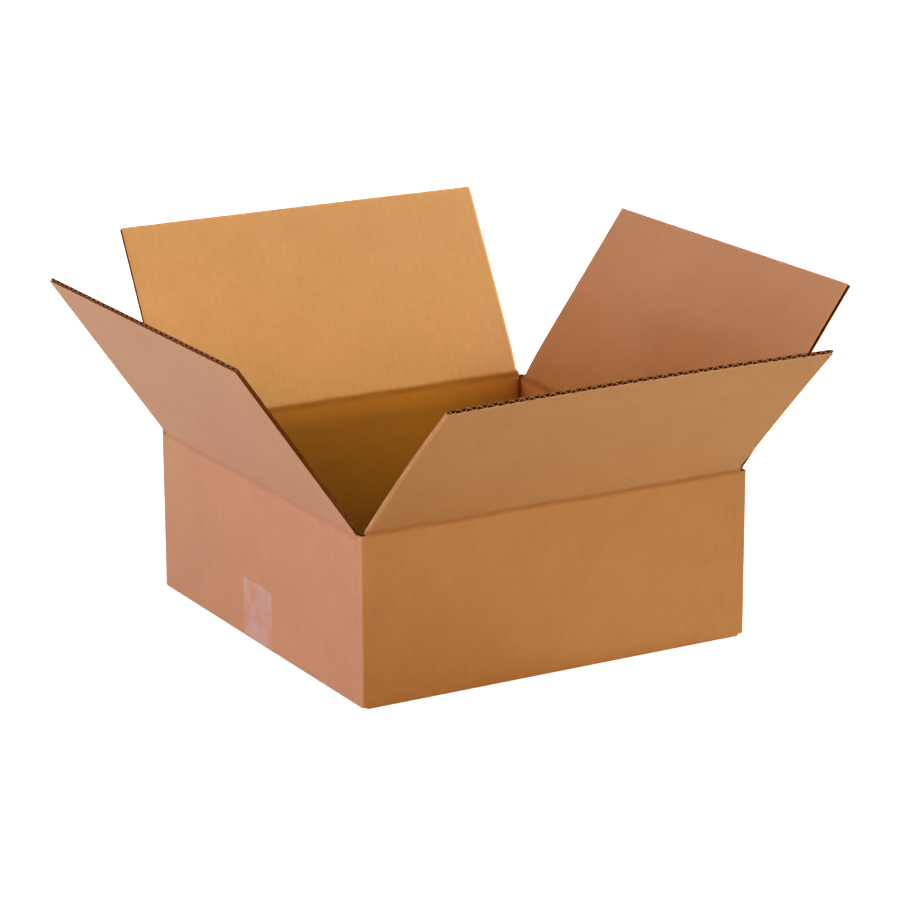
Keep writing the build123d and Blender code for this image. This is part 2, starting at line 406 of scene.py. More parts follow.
def wave_line(tree, given, middle):
    """The line of the wave along the crease."""
    end = add(tree, "ShaderNodeMath", {0: given["Span"], 1: WAVE_END}, operation="MULTIPLY")
    start = add(tree, "ShaderNodeMath", {0: end, 1: -1.0}, operation="MULTIPLY")
    ends = [add(tree, "ShaderNodeCombineXYZ", {0: x}) for x in (start, end)]
    line = add(tree, "GeometryNodeCurvePrimitiveLine", {"Start": ends[0], "End": ends[1]})
    fine = add(tree, "GeometryNodeResampleCurve", {"Curve": line, "Count": WAVE_POINTS})
    place = add(tree, "GeometryNodeInputPosition")
    xyz = add(tree, "ShaderNodeSeparateXYZ", {0: place}).outputs
    drift = add(tree, "ShaderNodeTexNoise", {"Vector": place, "W": given["Seed"],
                                             "Scale": 1 / DRIFT, "Detail": 2.0},
                noise_dimensions="4D")
    slide = add(tree, "ShaderNodeMapRange", {"Value": drift, 1: 0.0, 2: 1.0, 3: -SLIDE, 4: SLIDE})
    along = add(tree, "ShaderNodeMath", {0: xyz["X"], 1: slide}, operation="ADD")
    turns = add(tree, "ShaderNodeMath", {0: along, 1: given["Pitch"]}, operation="DIVIDE")
    angle = add(tree, "ShaderNodeMath", {0: turns, 1: 2 * math.pi}, operation="MULTIPLY")
    wave = add(tree, "ShaderNodeMath", {0: angle}, operation="COSINE")
    square = add(tree, "ShaderNodeMath", {0: wave, 1: wave}, operation="MULTIPLY")
    crest = add(tree, "ShaderNodeMath", {0: square, 1: -CREST_FLAT, 2: 1 + CREST_FLAT},
                operation="MULTIPLY_ADD")
    flat = add(tree, "ShaderNodeMath", {0: wave, 1: crest}, operation="MULTIPLY")
    reach = add(tree, "ShaderNodeMath", {0: given["Liner"], 1: -2.0, 2: given["Thickness"]},
                operation="MULTIPLY_ADD")
    swing = add(tree, "ShaderNodeMath", {0: reach, 1: given["Medium"]}, operation="SUBTRACT")
    height = add(tree, "ShaderNodeMath", {0: swing, 1: 0.5}, operation="MULTIPLY")
    core = add(tree, "ShaderNodeMath", {0: given["Thickness"], 1: 0.5}, operation="MULTIPLY")
    across = add(tree, "ShaderNodeMath", {0: flat, 1: height, 2: core}, operation="MULTIPLY_ADD")
    spot = add(tree, "ShaderNodeCombineXYZ", {0: xyz["X"], 1: across, 2: middle})
    waved = add(tree, "GeometryNodeSetPosition", {"Geometry": fine, "Position": spot})
    return add(tree, "GeometryNodeSetCurveNormal", {"Curve": waved}, mode="Z_UP")


def wave_layers(tree, given, length, middle):
    """The medium as strips swept along that line: from the crease to the tip, and the tip."""
    line = wave_line(tree, given, middle)
    root_run = add(tree, "ShaderNodeMath", {0: length, 1: TIP}, operation="SUBTRACT")
    tip_run = add(tree, "ShaderNodeValue")
    tip_run.outputs[0].default_value = TIP
    root_slide = add(tree, "ShaderNodeMath", {0: TIP, 1: -0.5}, operation="MULTIPLY")
    tip_slide = add(tree, "ShaderNodeMath", {0: root_run, 1: 0.5}, operation="MULTIPLY")
    layers = []
    for run, slide, cuts in ((root_run, root_slide, WAVE_CUTS), (tip_run, tip_slide, 1)):
        strip = add(tree, "GeometryNodeCurvePrimitiveQuadrilateral", {
            "Width": given["Medium"], "Height": run})
        rows = add(tree, "GeometryNodeSubdivideCurve", {"Curve": strip, "Cuts": cuts})
        swept = add(tree, "GeometryNodeCurveToMesh", {"Curve": line, "Profile Curve": rows,
                                                      "Fill Caps": True})
        aside = add(tree, "ShaderNodeCombineXYZ", {2: slide})
        placed = add(tree, "GeometryNodeTransform", {"Geometry": swept, "Translation": aside})
        layers.append(add(tree, "GeometryNodeStoreNamedAttribute", {
            "Geometry": placed, "Name": "layer", "Value": 2}, data_type="INT", domain="FACE"))
    return layers


print("wave of", WAVE_POINTS, "points, its last", TIP / MM, "mm on their own")

# %% [markdown]
# One tree for every panel
#
# The layers are joined, realised and given their papers by an attribute that each of them
# carries. The inputs are the panel's sizes and papers, so a flap is only a set of numbers.

# %% Geometry tree for a corrugated panel
def board_tree():
    """A panel of corrugated board: X along the crease, Y through it, Z away from the crease."""
    tree = bpy.data.node_groups.new("corrugated_panel", "GeometryNodeTree")
    for names, kind in ((BOARD_SIZES, "NodeSocketFloat"), (BOARD_PAPERS, "NodeSocketMaterial")):
        for name in names:
            tree.interface.new_socket(name, in_out="INPUT", socket_type=kind)
    tree.interface.new_socket("Panel", in_out="OUTPUT", socket_type="NodeSocketGeometry")
    given = add(tree, "NodeGroupInput").outputs
    length = add(tree, "ShaderNodeMath", {0: given["Depth"], 1: given["Start"]},
                 operation="SUBTRACT")
    middle = add(tree, "ShaderNodeMath", {0: length, 1: 0.5, 2: given["Start"]},
                 operation="MULTIPLY_ADD")
    layers = liner_layers(tree, given, length, middle) + wave_layers(tree, given, length, middle)
    joined = add(tree, "GeometryNodeJoinGeometry")
    for layer in reversed(layers):
        tree.links.new(layer.outputs[0], joined.inputs[0])
    shown = add(tree, "GeometryNodeRealizeInstances", {"Geometry": joined})
    which = add(tree, "GeometryNodeInputNamedAttribute", {"Name": "layer"}, data_type="INT")
    for number, paper in enumerate(BOARD_PAPERS):
        same = add(tree, "FunctionNodeCompare", {2: which, 3: number},
                   data_type="INT", operation="EQUAL")
        shown = add(tree, "GeometryNodeSetMaterial", {"Geometry": shown, "Selection": same,
                                                      "Material": given[paper]})
    add(tree, "NodeGroupOutput", {"Panel": shown})
    return tree


panel_tree = board_tree()
print("panel tree", len(panel_tree.nodes), "nodes")

# %% [markdown]
# From two grids to a closed piece
#
# The walls, the folds, the glued tab and the tape are all sheets with a thickness. Each can be
# written as two grids of points, one for each face, and this helper joins them round their
# borders into one closed piece. It also lays the map of the unfolded sheet over them, so that
# the paper's fibres and stripes run along the board and not through it. The outer face, the
# inner face and the border each have a paper of their own.

# %% Grid helper
def closed_shell(name, outer, inner, sheet, papers, pressed=None, loop=0.0):
    """One closed piece from an outer and an inner grid of rows of points.

    sheet gives each place on the unfolded board. loop, if given, is the length after which the
    columns close on themselves. pressed says how dark the paper is painted at each point: a
    crease's pressed fibres with painted shade, and painted shade in the inner corners.
    """
    rows, columns = len(outer), len(outer[0])
    mesh = bpy.data.meshes.new(name)
    spots = [p for grid in (outer, inner) for row in grid for p in row]
    layer = rows * columns

    def at(side, row, column):
        return side * layer + row * columns + column % columns

    faces, papers_used, places = [], [], []

    def face(corners, paper):
        faces.append([at(*corner) for corner in corners])
        papers_used.append(paper)
        for _, row, column in corners:
            across, along = sheet[row][column % columns]
            places.extend((across + loop * (column // columns), along))

    for row in range(rows - 1):
        for column in range(columns if loop else columns - 1):
            ring = ((row, column), (row, column + 1), (row + 1, column + 1), (row + 1, column))
            face([(0, *spot) for spot in ring], 0)
            face([(1, *spot) for spot in reversed(ring)], 1)
    for row, step in ((0, 1), (rows - 1, -1)):
        for column in range(columns if loop else columns - 1):
            rim = ((0, row, column), (1, row, column), (1, row, column + 1), (0, row, column + 1))
            face(rim[::step], 2)
    if not loop:
        for column, step in ((0, -1), (columns - 1, 1)):
            for row in range(rows - 1):
                rim = ((0, row, column), (1, row, column), (1, row + 1, column),
                       (0, row + 1, column))
                face(rim[::step], 2)
    mesh.from_pydata([tuple(p) for p in spots], [], faces)
    for paper in papers:
        mesh.materials.append(paper)
    mesh.polygons.foreach_set("material_index", papers_used)
    mesh.uv_layers.new(name="sheet").data.foreach_set("uv", places)
    if pressed:
        press_and_shade = mesh.attributes.new("pressed", "FLOAT", "POINT")
        press_and_shade.data.foreach_set("value", [p for grid in pressed for row in grid for p in row])
    return finished(name, mesh)


def finished(name, mesh, sharp=50):
    """A mesh as an object, smooth but for its sharp edges, with its faces turned outwards."""
    shape = bmesh.new()
    shape.from_mesh(mesh)
    bmesh.ops.recalc_face_normals(shape, faces=shape.faces)
    shape.to_mesh(mesh)
    shape.free()
    mesh.shade_smooth()
    mesh.set_sharp_from_angle(angle=math.radians(sharp))
    piece = bpy.data.objects.new(name, mesh)
    bpy.context.scene.collection.objects.link(piece)
    return piece


def smoothstep(x):
    x = min(max(x, 0.0), 1.0)
    return x * x * (3 - 2 * x)


def wobble(seed, *place, size):
    """Smooth noise from -1 to 1 that changes over about size metres, the same on each run."""
    return noise.noise(Vector(place).to_3d() / size + Vector((seed * 7.31, seed * 3.17, seed)))


print("grid helper ready")

# %% [markdown]
# The sheet's own map and its gentle bow
#
# A wall of board is never a perfect plane: it bows by a few tenths of a millimetre between its
# corners, which is what makes its light change slowly. The same function bows the walls and
# the tape that sticks to them, and it fades out towards corners and creases, where the board
# is held.

# %% Wall frames and bow
BOW = 0.3 * MM           # how far a wall bulges at most, more or less
BOW_LONG = 120 * MM      # length of its slow waves
BOW_SHORT = 34 * MM      # and of the small ones on top of them
BOW_SMALL = 0.22         # how high those are beside the slow ones
HELD = 28 * MM           # how far in from its borders a wall is held flat

side_run = 2 * half_length
walls = {}
for number, flap in enumerate(("front", "right", "back", "left")):
    joint = joints[f"{flap}_flap"]
    along = Vector(joint["axis"])
    inward = Vector((0, 0, 1)).cross(along)
    walls[flap] = {"along": along, "inward": inward, "number": number,
                   "face": -inward * half_length, "start": number * side_run,
                   "crease": crease_height[flap]}


def bow(flap, across, height):
    """How far a wall bulges outwards at a place on it."""
    top = walls[flap]["crease"]
    held = smoothstep((half_length - abs(across)) / HELD) * smoothstep(height / HELD)
    held *= smoothstep((top - height) / HELD)
    slow = wobble(walls[flap]["number"] + 2, across, height, 0, size=BOW_LONG)
    quick = wobble(walls[flap]["number"] + 9, across, height, 0, size=BOW_SHORT)
    return BOW * held * (slow + BOW_SMALL * quick)


for flap, wall in walls.items():
    print(flap, "bow in the middle", round(bow(flap, 0.02, 0.06) / MM, 3), "mm")

# %% [markdown]
# The four walls
#
# The walls are one band of board bent round four corners. Each has a rounded fold outside and
# a sharp one inside, where the liner is crushed. It could be four slabs, but a band keeps the
# corners closed and lets the light roll round them. Its top stops a little below each crease,
# where a flexible fold takes over, and at the corners it runs up to the bottom of the slots.
# Its foot turns under, towards the bottom flaps. The band is a closed skin without flutes,
# because hardly any of its edges can be seen.

# %% Round the carton
CORNER_BEND = 2.3 * MM   # outer and inner radius of an upright fold
INNER_BEND = 0.6 * MM
LEAST_BEND = 0.15 * MM   # and the smallest one between the two
BOTTOM_BEND = 1.8 * MM   # outer and inner radius of the folds at the bottom
FLOOR_BEND = 0.9 * MM
FOLD_DROP = 1.2 * MM     # how far the side walls' bottom folds stand above the floor
PLAY = 0.2 * MM          # between boards that lie on each other
FOLD_REACH = 5 * MM      # how far a fold piece reaches down the wall and up the flap
FOOT_REACH = 4.6 * MM    # how far the walls' foot turns under
NOTCH = 0.2 * MM         # width over which a slot's side drops to its bottom
GROOVE = 1.5 * MM        # how deep an upright crease is pressed in the inner corner
GROOVE_REACH = 1.6 * MM
CORNER_SHADE_REACH = 5.0 * MM          # how far the painted shade in an inner corner reaches
CORNER_SHADE_DEPTH = 1.35         # and how dark that painted shade is, where 1 is a plain crease's mark
SLOT_LIFT = 1.5 * MM     # the round bottom of a slot stands a little above the lower crease
WALL_ROWS = 30
WALL_COLUMNS = 74
BEND_STEPS = 5


def wall_stations():
    """Round the carton once: the place across a wall, the wall, its top, foot and floor inside.

    A place past the wall's flat counts the steps of the bend at its end.
    """
    flat_end = half_length - CORNER_BEND
    inner_flat = half_length - slot_inset
    dense = [inner_flat - step * MM for step in (0, 1, 2.5, 4.5, 7)]
    wide = inner_flat - 10 * MM
    even = [-wide + 2 * wide * i / WALL_COLUMNS for i in range(WALL_COLUMNS + 1)]
    middle = [-place for place in dense] + even + list(reversed(dense))
    for flap, wall in walls.items():
        outer_flap = flap in ("front", "back")
        foot, floor = (0.0, BOARD) if outer_flap else (FOLD_DROP, 2 * BOARD + PLAY)
        corner = (flap, slot_floor + SLOT_LIFT, FOLD_DROP, floor, wall)
        centre = (flap, wall["crease"] - FOLD_REACH, foot, floor, wall)
        yield (-flat_end, *corner)
        yield (-inner_flat - NOTCH, *corner)
        for across in middle:
            yield (across, *centre)
        yield (inner_flat + NOTCH, *corner)
        yield (flat_end, *corner)
        for step in range(1, BEND_STEPS * 2):
            yield (flat_end + step, *corner)


def wall_place(across, flap, inset, height):
    """A point on a wall or its corner, inset from the outer face. Past the flat it turns."""
    wall = walls[flap]
    flat_end = half_length - CORNER_BEND
    inside = abs(inset - BOARD) < 0.01 * MM
    bend = max(CORNER_BEND - inset, min(INNER_BEND, BOARD + INNER_BEND + PLAY - inset),
               LEAST_BEND)
    centre = half_length - inset - bend
    turn = (across - flat_end) / (BEND_STEPS * 2) * math.pi / 2
    if turn > 0.01:
        peak = 1 - abs(4 * turn / math.pi - 1)
        shallow = 1 - bend / GROOVE_REACH
        bend += GROOVE * (shallow + (1 - shallow) * peak) if inside else 0
        out = wall["along"] * (centre + bend * math.sin(turn))
        return out - wall["inward"] * (centre + bend * math.cos(turn)) + Vector((0, 0, height))
    across = min(max(across, -centre), centre)
    inset -= bow(flap, across, height)
    if inside:
        inset -= GROOVE * max(1 - (half_length - BOARD - abs(across)) / GROOVE_REACH, 0)
    return wall["along"] * across + wall["face"] + wall["inward"] * inset + Vector((0, 0, height))


def painted_corner_shade(across):
    """How dark the inner liner is painted near an upright crease: painted shade in the corner."""
    from_corner = half_length - BOARD - abs(across)
    return CORNER_SHADE_DEPTH * math.exp(-max(from_corner, 0) / CORNER_SHADE_REACH)


def wall_profile(top, foot, floor):
    """The outer and the inner face of a wall as (inset, height) from its top to its foot."""
    outer, inner = [], []
    for row in range(WALL_ROWS):
        share = row / (WALL_ROWS - 1)
        outer.append((0, top + (foot + BOTTOM_BEND - top) * share))
        inner.append((BOARD, top + (floor + FLOOR_BEND - top) * share))
    for step in range(1, BEND_STEPS + 1):
        angle = step / BEND_STEPS * math.pi / 2
        drop, run = math.sin(angle), 1 - math.cos(angle)
        outer.append((BOTTOM_BEND * run, foot + BOTTOM_BEND * (1 - drop)))
        inner.append((BOARD + FLOOR_BEND * run, floor + FLOOR_BEND * (1 - drop)))
    outer.append((FOOT_REACH, foot))
    inner.append((FOOT_REACH, floor))
    return outer, inner


stations = list(wall_stations())
print("stations", len(stations), "round the carton")

# %% [markdown]
# From stations to a band
#
# Each station gives one column of points from the wall's top to its foot, on both faces. Its
# place on the unfolded sheet is counted along the bend's middle, so the stripes keep their
# pitch round the corners. Near an upright crease the inner liner is darkened with painted
# shade, where the inner corner is in shadow.

# %% Build the walls
outer, inner, sheet = [], [], []
plain = [0.0] * len(stations)
corner_shading = [painted_corner_shade(station[0]) for station in stations]
wall_rows = WALL_ROWS + BEND_STEPS + 1
for row in range(wall_rows):
    outer.append([])
    inner.append([])
    sheet.append([])
    for across, flap, top, foot, floor, wall in stations:
        out_path, in_path = wall_profile(top, foot, floor)
        outer[-1].append(wall_place(across, flap, *out_path[row]))
        inner[-1].append(wall_place(across, flap, *in_path[row]))
        turn = max(across - (half_length - CORNER_BEND), 0) / (BEND_STEPS * 2)
        place = min(across, half_length - CORNER_BEND) + turn * 2 * CORNER_BEND
        sheet[-1].append((wall["start"] + place, out_path[row][1] - out_path[row][0]))
carton_walls = closed_shell("carton_walls", outer, inner, sheet, sheet_papers,
                            pressed=([plain] * wall_rows, [corner_shading] * wall_rows),
                            loop=4 * side_run)
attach(carton_walls, "carton")
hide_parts("carton_body")
print("walls", len(carton_walls.data.polygons), "faces")

# %% [markdown]
# Where the knives went
#
# The slots are punched and the free edges are slit, and both crush the soft board. At a slot
# the two liners are pressed together, nearly shut at some and half open at others, and a free
# edge loses about an eighth of its flutes' height. A slot is also a little wider near its
# round bottom, and a flap that has been opened curls outwards towards its free edge. It could
# all be left square, but the crushed slot edges catch the light from the side as a thin band,
# pale or dark, which is how a real carton's corners look.

# %% Crushed edges
FREE_CRUSH = 0.12        # share of the flutes' height lost at the free edge
FREE_RIM = 0.6 * MM      # how far in from it the board is crushed
# share lost at a flap's two slots, the one at its start and the one at its end
PINCH = {"front": (0.88, 0.75), "right": (0.30, 0.70), "back": (0.80, 0.20), "left": (0.80, 0.18)}
BOTTOM_PINCH = (0.6, 0.6)
PINCH_UNEVEN = 0.12      # how much that varies along a slot
PINCH_MOST = 0.95        # the two liners never quite meet
ROOT_CRUSH = 0.35        # what is lost on top of it beside the fold, fading over the next length
ROOT_FADE = 12 * MM
CRUSH_REACH = 2.0 * MM   # how far in from a slot the board is flattened
# how much the slots beside a flap are wider near their bottom, where that begins and fades
ROOT_TRIM = {"front": 0.3 * MM, "right": 2.2 * MM, "back": 1.5 * MM, "left": 0.3 * MM}
TRIM_START, TRIM_FADE, TRIM_IN = 3 * MM, 9 * MM, 12 * MM
# how far a free edge curls outwards, at its start, its middle and its end
WARP = {"front": (4.0 * MM, 1.5 * MM, 2.4 * MM), "back": (0.5 * MM, 0.0, 0.5 * MM)}
WARP_POWER = 2.5         # most of the curl is near the free edge


def side_crush(flap, across, up):
    """The share of the flutes' height that is lost at a place near a slot."""
    near = smoothstep(1 - (flap_span / 2 - abs(across)) / CRUSH_REACH)
    pinch = PINCH.get(flap, BOTTOM_PINCH)[across > 0]
    uneven = 1 + PINCH_UNEVEN * wobble(17, across, up, 0, size=7 * MM)
    root = ROOT_CRUSH * math.exp(-max(up, 0) / ROOT_FADE)
    return near * min(pinch * (uneven + root), PINCH_MOST)


def slot_trim(flap, across, up):
    """Where a point across a flap goes, because the slot is wider near its round bottom."""
    cut = ROOT_TRIM.get(flap, 0.0) * smoothstep(up / TRIM_START) * math.exp(-max(up, 0) / TRIM_FADE)
    near = smoothstep(1 - (flap_span / 2 - abs(across)) / TRIM_IN)
    return across - math.copysign(cut * near, across)


def warp(flap, across, up):
    """How far a flap curls outwards at a place. Its free edge's curl is a parabola."""
    first, middle, last = WARP.get(flap, (0, 0, 0))
    place = 2 * across / flap_span
    edge = middle + (last - first) / 2 * place + ((first + last) / 2 - middle) * place ** 2
    return edge * (max(up, 0) / flap_depth) ** WARP_POWER


def crush_edges(mesh, sizes, flap):
    """Flatten a panel's flutes where it was cut, and mark its rim for the paper."""
    middle, depth = sizes["Thickness"] / 2, sizes["Depth"]
    core = middle - sizes["Liner"]
    rim = mesh.attributes.new("rim", "FLOAT", "POINT")
    marks = []
    for vertex in mesh.vertices:
        across, through, up = vertex.co
        free = 1.0 if up > depth - FREE_RIM else 0.0
        at_slot = smoothstep(1 - (flap_span / 2 - abs(across)) / CRUSH_REACH)
        lost = max(FREE_CRUSH * free, side_crush(flap, across, up))
        fluted = min(abs(through - middle), core)
        kept = fluted * (1 - lost) + abs(through - middle) - fluted
        depth_now = middle + math.copysign(kept, through - middle) - warp(flap, across, up)
        vertex.co = (slot_trim(flap, across, up), depth_now, up)
        hollow = abs(through - middle) < core + 0.05 * MM
        marks.append(max(0.0 if hollow else free, at_slot))
    rim.data.foreach_set("value", marks)


print("slot edge keeps", round(1 - side_crush("front", -flap_span / 2, 0.1), 2), "of its flutes")

# %% [markdown]
# The four living folds
#
# A top flap isn't hinged on a pin. It hangs on a line where a wheel crushed the board, and the
# paper itself bends. A short strip of board spans each crease, from the wall's top to the
# flap's root, made at the flap's lean at rest. The wheel's mark is a narrow valley that
# wanders a little, outside, and a softer dent inside. The outer liner turns over a short way
# and the inner one over a longer way, as crushed board does.

# %% Build the folds
FOLD_COLUMNS = 260
# rows of the strip, in millimetres down the wall and up the flap
FOLD_ROWS = [-5, -4.2, -3.4, -2.8, -2.3, -1.8, -1.4, -1.0, -0.65, -0.3, 0,
             0.3, 0.65, 1.0, 1.4, 1.8, 2.3, 2.8, 3.4, 4.2, 5]
PRESS_DEPTH = 0.6 * MM   # depth and width of the wheel's valley
PRESS_WIDTH = 1.3 * MM
PRESS_INSIDE = 0.14      # depth of the dent inside, as a share of the board
CREASE_SWAY = 0.7 * MM   # how far the valley wanders
# how far the valley runs below the bend, outside and inside, and how dark its paper is painted,
# for its pressed fibres and as painted shade in the valley
OUTER_SLIP = {"front": -1.7 * MM, "right": -0.6 * MM, "back": -0.6 * MM, "left": -1.1 * MM}
INNER_SLIP = -1.3 * MM
PRESS_AND_SHADE_MARK = {"front": 0.62, "right": 0.5, "back": 0.5, "left": 0.28}
INNER_PRESS_AND_SHADE_MARK = 0.72
OUTER_TURN = (1.1 * MM, 1.6 * MM)       # where the outer liner starts to turn, and over how much
INNER_TURN = (1.2 * MM, 5.2 * MM)       # the inner one's middle, and over how much


def turned(lean, out, up):
    """A point of the upright fold, as (0, in, up), turned outwards by lean."""
    return Vector((0, out * math.cos(lean) - up * math.sin(lean),
                   out * math.sin(lean) + up * math.cos(lean)))


def fold_strip(flap):
    """The strip of board over one crease, open at the flap's lean."""
    upright, lean = crease_frame(flap)
    seed = walls[flap]["number"] + 20
    columns = [(-0.5 + i / FOLD_COLUMNS) * flap_span for i in range(FOLD_COLUMNS + 1)]
    outer, inner, sheet = [], [], []
    marks = [[], []]
    for along in (row * MM for row in FOLD_ROWS):
        grids = ([], [], [], [], [])
        for across in columns:
            shift = CREASE_SWAY * wobble(seed, across, 0, 0, size=26 * MM)
            line = along - OUTER_SLIP[flap] - shift
            inner_line = along - INNER_SLIP - shift
            depth = PRESS_DEPTH * (0.8 + 0.35 * wobble(seed + 1, across, 0, 0, size=9 * MM))
            mark = math.exp(-(line / PRESS_WIDTH) ** 2)
            dent = math.exp(-(inner_line / (1.2 * PRESS_WIDTH)) ** 2)
            sharp_turn = lean * smoothstep((along + OUTER_TURN[0]) / OUTER_TURN[1])
            soft_turn = lean * smoothstep((along + INNER_TURN[0]) / INNER_TURN[1] + 0.5)
            pinched = side_crush(flap, across, 0) * smoothstep((along + 2 * MM) / (4 * MM))
            lost = (BOARD / 2 - LINER) * pinched
            out = turned(sharp_turn, lost, along) + turned(lean / 2, depth * mark, 0)
            into = turned(soft_turn, BOARD * (1 - PRESS_INSIDE * dent) - lost, along)
            side = Vector((slot_trim(flap, across, along), 0, 0))
            grids[0].append(upright @ (out + side))
            grids[1].append(upright @ (into + side))
            grids[2].append((walls[flap]["start"] + across, walls[flap]["crease"] + along))
            # The paper is darkened along the valley and the dent inside: its pressed fibres, and
            # painted shade.
            grids[3].append(PRESS_AND_SHADE_MARK[flap] * math.exp(-(line / (1.5 * PRESS_WIDTH)) ** 2))
            grids[4].append(INNER_PRESS_AND_SHADE_MARK * math.exp(-(inner_line / (1.4 * PRESS_WIDTH)) ** 2))
        for grid, row in zip((outer, inner, sheet, *marks), grids):
            grid.append(row)
    cut = outer_kraft if flap == "front" else cut_shade_kraft
    piece = closed_shell(f"{flap}_fold", outer, inner, sheet, (*liners[flap], cut),
                         pressed=marks)
    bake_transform(piece)
    return piece


folds = {flap: fold_strip(flap) for flap in FLAPS}
print("folds", {flap: len(piece.data.polygons) for flap, piece in folds.items()})

# %% [markdown]
# The four open flaps
#
# Each flap is one panel from the tree above, from the fold's end to its free edge. The
# modifier's inputs are set by their identifiers before the object is first evaluated, the
# result becomes a plain mesh, and that mesh is carried to the flap's crease and lean. The
# paper's stripes go on where the wall's stripes end, because both use the same map. The tree
# gives each layer one paper, and the faces that a knife or a punch made get theirs here.

# %% From the tree to a plain mesh
FACING = 0.7             # a face is an edge where its normal points that far sideways or out
FLUTE_FACING = 0.5       # and the glued side of a liner where it points that far inwards
SHUT = 0.85              # a slot pinched more than this hides the inner liner's cut


def panel_mesh(name, sizes, sheet_origin, flap=None):
    """Run the panel tree once with these sizes and return its result as a plain mesh."""
    papers = (*liners.get(flap, (outer_kraft, inner_kraft)), medium_kraft)
    holder = bpy.data.objects.new(name, bpy.data.meshes.new(name))
    bpy.context.scene.collection.objects.link(holder)
    rule = holder.modifiers.new("panel", "NODES")
    rule.node_group = panel_tree
    given = {**sizes, **dict(zip(BOARD_PAPERS, papers))}
    for socket in panel_tree.interface.items_tree:
        if socket.in_out == "INPUT":
            rule[socket.identifier] = given[socket.name]
    graph = bpy.context.evaluated_depsgraph_get()
    mesh = bpy.data.meshes.new_from_object(holder.evaluated_get(graph))
    bpy.data.objects.remove(holder)
    crush_edges(mesh, sizes, flap)
    uv = mesh.uv_layers.get("sheet") or mesh.uv_layers.new(name="sheet")
    points = [mesh.vertices[loop.vertex_index].co for loop in mesh.loops]
    start, crease = sheet_origin
    uv.data.foreach_set("uv", [c for p in points for c in (start + p.x, crease + p.z)])
    closed = PINCH.get(flap, (0, 0))
    layers = [item.value for item in mesh.attributes["layer"].data]
    mesh.materials.clear()           # the tree leaves its first slot empty
    for paper in papers:
        mesh.materials.append(paper)
    # The liners' glued sides and the inner liner's cut ends take the darker medium paper, as painted
    # shade in the flutes' hollows.
    for face, layer in zip(mesh.polygons, layers):
        at_slot, at_free = abs(face.normal.x) > FACING, face.normal.z > FACING
        through = face.normal.y if layer == 0 else -face.normal.y
        flute_side = through > FLUTE_FACING
        inner_end = at_free or (at_slot and closed[face.center.x > 0] <= SHUT)
        if layer == 2:
            face.material_index = 0 if at_free else 2
        else:
            face.material_index = 2 if flute_side or (layer == 1 and inner_end) else layer
    mesh.attributes.remove(mesh.attributes["layer"])
    return mesh


def board_sizes(thickness, depth, start, ruffle, seed):
    """The tree's named inputs for one panel."""
    return dict(Span=flap_span, Depth=depth, Start=start, Thickness=thickness, Liner=LINER,
                Medium=MEDIUM, Pitch=FLUTE_PITCH, Ruffle=ruffle, Seed=seed)


print("panel sizes", board_sizes(BOARD, flap_depth, FOLD_REACH, 0.0, 0.0))

# %% [markdown]
# Hanging them
#
# A panel is made upright at the origin, so its crease frame says where it goes. It rides on
# its flap's own body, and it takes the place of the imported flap. It could be turned as an
# object, but with its place in its mesh the paper's pattern stays on it when the flap moves.

# %% Build the top flaps
FLAP_RUFFLE = 0.55 * MM  # how far the knife's cut strays, in all


def top_flap(flap):
    """One open flap, riding on its own body."""
    upright, lean = crease_frame(flap)
    sizes = board_sizes(BOARD, flap_depth, FOLD_REACH, FLAP_RUFFLE, walls[flap]["number"] + 3.0)
    origin = (walls[flap]["start"], walls[flap]["crease"])
    mesh = panel_mesh(f"{flap}_flap_board", sizes, origin, flap)
    mesh.transform(upright @ Matrix.Rotation(lean, 4, "X"))
    piece = finished(f"{flap}_flap_board", mesh)
    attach(piece, f"{flap}_flap")
    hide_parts(f"{flap}_flap")
    return piece


flaps = {flap: top_flap(flap) for flap in FLAPS}
print("flaps", {flap: len(piece.data.polygons) for flap, piece in flaps.items()})

# %% [markdown]
# The closed bottom
#
# Underneath, two flaps from the front and back walls meet along the middle, and two from the
# side walls lie on top of them inside. They are the same board, so the same tree makes them,
# laid flat. Nothing here moves, because the tape holds it, so all four ride with the walls.

# %% Build the bottom flaps
BOTTOM_BOARD = BOARD - 0.1 * MM         # the tape under them takes a hair of their height
BOTTOM_RUFFLE = 0.5 * MM
BOTTOM_HEIGHT = {"front": 0.1 * MM, "back": 0.1 * MM, "left": BOARD + 0.3 * MM,
                 "right": BOARD + 0.3 * MM}


def bottom_flap(flap, height):
    """One bottom flap, flat on the floor or on the flaps below, from its wall inwards."""
    wall = walls[flap]
    sizes = board_sizes(BOTTOM_BOARD, flap_depth, FOOT_REACH, BOTTOM_RUFFLE,
                        wall["number"] + 11.0)
    name = f"{flap}_bottom_flap"
    mesh = panel_mesh(name, sizes, (wall["start"], -2 * flap_depth))
    axes = Matrix((-wall["along"], Vector((0, 0, 1)), wall["inward"])).transposed().to_4x4()
    mesh.transform(Matrix.Translation(wall["face"] + Vector((0, 0, height))) @ axes)
    piece = finished(name, mesh)
    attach(piece, "carton")
    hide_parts("carton_body")
    return piece


bottoms = [bottom_flap(flap, BOTTOM_HEIGHT[flap]) for flap in FLAPS]
print("bottom flaps", [piece.name for piece in bottoms])

# %% [markdown]
# The glued tab
#
# The sheet's two ends are joined by a narrow tab, glued flat inside the left wall at the back
# corner. Its ends are tapered so that it clears the folds. Its free edges are cut, so they
# show the flutes, which here run upright. It is three layers in mesh code, because the tree's
# panel is a rectangle and this one is not.

